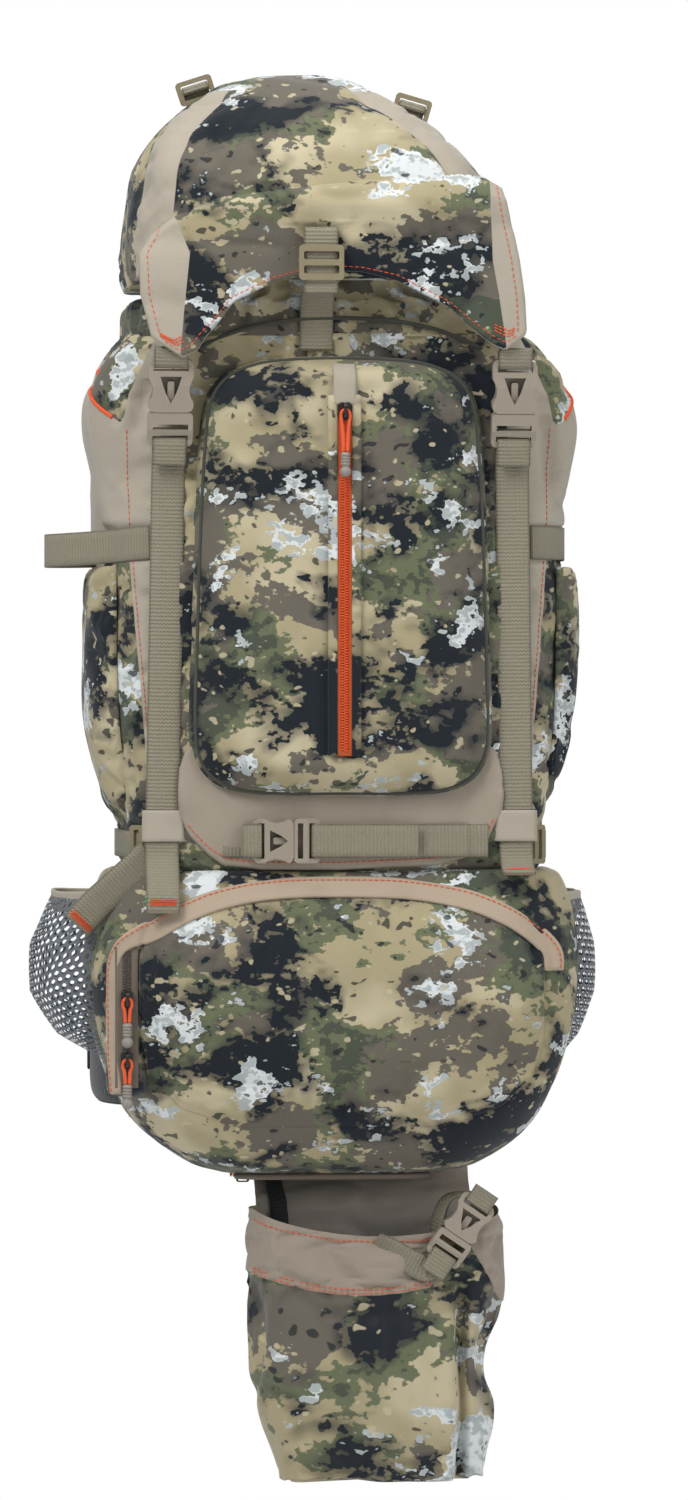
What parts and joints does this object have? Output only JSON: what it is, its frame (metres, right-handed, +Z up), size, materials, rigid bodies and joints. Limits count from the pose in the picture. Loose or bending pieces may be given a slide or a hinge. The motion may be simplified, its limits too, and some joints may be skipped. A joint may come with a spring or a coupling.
{
  "type": "hunting backpack",
  "caption": "Large framed hunting backpack with flip-back lid, front pocket, zipped bottom compartment, mesh side pockets, drop-down boot and padded harness.",
  "frame": {"origin": "inside top of the haul loop, in the middle of the pack", "axes": "+Z up, front of the pack towards -Y, harness towards +Y, +X to the right seen from the front"},
  "size_m": [0.426, 0.5219, 1.0528],
  "materials": {
    "camo_fabric": "brushed polyester with a printed pattern",
    "taupe_fabric": "plain woven nylon",
    "mesh_fabric": "open hexagonal knit mesh",
    "black_foam": "foam under black spacer mesh",
    "webbing": "woven nylon webbing",
    "buckle_plastic": "moulded acetal",
    "black_plastic": "moulded",
    "zip_tape": "nylon coil zip",
    "boot_zip_tape": "nylon coil zip",
    "slider_metal": "die-cast, matt lacquer",
    "pull_cord": "braided cord",
    "frame_alloy": "extruded flat bar"
  },
  "bodies": {
    "pack": {"main_bag": "taupe_fabric", "collar": "camo_fabric", "hinge_roll": "taupe_fabric", "lid_plugs": "buckle_plastic", "lid_straps": "webbing", "strap_keepers": "taupe_fabric", "front_pocket": "camo_fabric", "front_zip": "zip_tape", "boat_flap": "taupe_fabric", "front_socket": "buckle_plastic", "front_anchors": "webbing", "bottom_compartment": "camo_fabric", "rain_flap": "taupe_fabric", "base_zip": "zip_tape", "mesh_pocket_left": "mesh_fabric", "mesh_pocket_right": "mesh_fabric", "side_pockets": "camo_fabric", "side_straps": "webbing", "ladder_locks": "black_plastic", "limb_strap": "webbing", "limb_slide": "buckle_plastic", "boot_zip": "boot_zip_tape", "back_panel": "black_foam", "frame_sheet": "black_plastic", "frame_stays": "frame_alloy", "haul_loop": "webbing", "shoulder_straps": "black_foam", "load_lifters": "webbing", "chest_rails": "black_plastic", "lumbar_pad": "black_foam"},
    "lid": {"lid_dome": "camo_fabric", "lid_back": "taupe_fabric", "lid_flap": "camo_fabric", "lid_sockets": "buckle_plastic", "lid_tabs": "webbing", "lid_slides": "buckle_plastic", "lid_loop_tabs": "webbing"},
    "front_slider": {"front_slider": "slider_metal", "front_pull_cord": "pull_cord", "front_pull_grip": "buckle_plastic"},
    "front_plug": {"front_plug": "buckle_plastic", "front_strap_loop": "webbing"},
    "door": {"compartment_door": "camo_fabric"},
    "upper_slider": {"upper_slider": "slider_metal", "upper_pull_cord": "pull_cord", "upper_pull_grip": "buckle_plastic"},
    "lower_slider": {"lower_slider": "slider_metal", "lower_pull_cord": "pull_cord", "lower_pull_grip": "buckle_plastic"},
    "boot": {"boot_liner": "taupe_fabric", "boot_pouch": "camo_fabric", "boot_strap": "webbing", "boot_buckle": "buckle_plastic"},
    "boot_slider": {"boot_slider": "slider_metal"},
    "chest": {"chest_strap": "webbing", "chest_buckle": "black_plastic"},
    "hip_left": {"hip_wing_left": "black_foam", "hip_socket": "black_plastic"},
    "hip_right": {"hip_wing_right": "black_foam", "hip_plug": "black_plastic"}
  },
  "joints": [
    {"name": "lid_hinge", "type": "hinge", "parent": "pack", "child": "lid", "pos_m": [0, -0.0323, 0.015], "axis": [-1, 0, 0], "range_deg": [0, 100]},
    {"name": "door_hinge", "type": "hinge", "parent": "pack", "child": "door", "pos_m": [0, -0.2743, -0.5835], "axis": [1, 0, 0], "range_deg": [0, 70]},
    {"name": "boot_swing", "type": "hinge", "parent": "pack", "child": "boot", "pos_m": [0, -0.1613, -0.618], "axis": [1, 0, 0], "range_deg": [-15, 25]},
    {"name": "hip_left_hinge", "type": "hinge", "parent": "pack", "child": "hip_left", "pos_m": [-0.108, 0, -0.54], "axis": [0, 0, 1], "range_deg": [-5, 25]},
    {"name": "hip_right_hinge", "type": "hinge", "parent": "pack", "child": "hip_right", "pos_m": [0.108, 0, -0.54], "axis": [0, 0, -1], "range_deg": [-5, 25]},
    {"name": "front_zip_slide", "type": "slide", "parent": "pack", "child": "front_slider", "axis": [0, 0, -1], "range_m": [0, 0.225]},
    {"name": "upper_zip_slide", "type": "slide", "parent": "pack", "child": "upper_slider", "axis": [0, 0, 1], "range_m": [0, 0.02]},
    {"name": "lower_zip_slide", "type": "slide", "parent": "pack", "child": "lower_slider", "axis": [0, 0, -1], "range_m": [0, 0.012]},
    {"name": "boot_zip_slide", "type": "slide", "parent": "pack", "child": "boot_slider", "axis": [1, 0, 0], "range_m": [0, 0.13]},
    {"name": "front_buckle_release", "type": "slide", "parent": "pack", "child": "front_plug", "axis": [1, 0, 0], "range_m": [0, 0.018]},
    {"name": "chest_strap_slide", "type": "slide", "parent": "pack", "child": "chest", "axis": [0, 0, 1], "range_m": [-0.04, 0.04]}
  ]
}
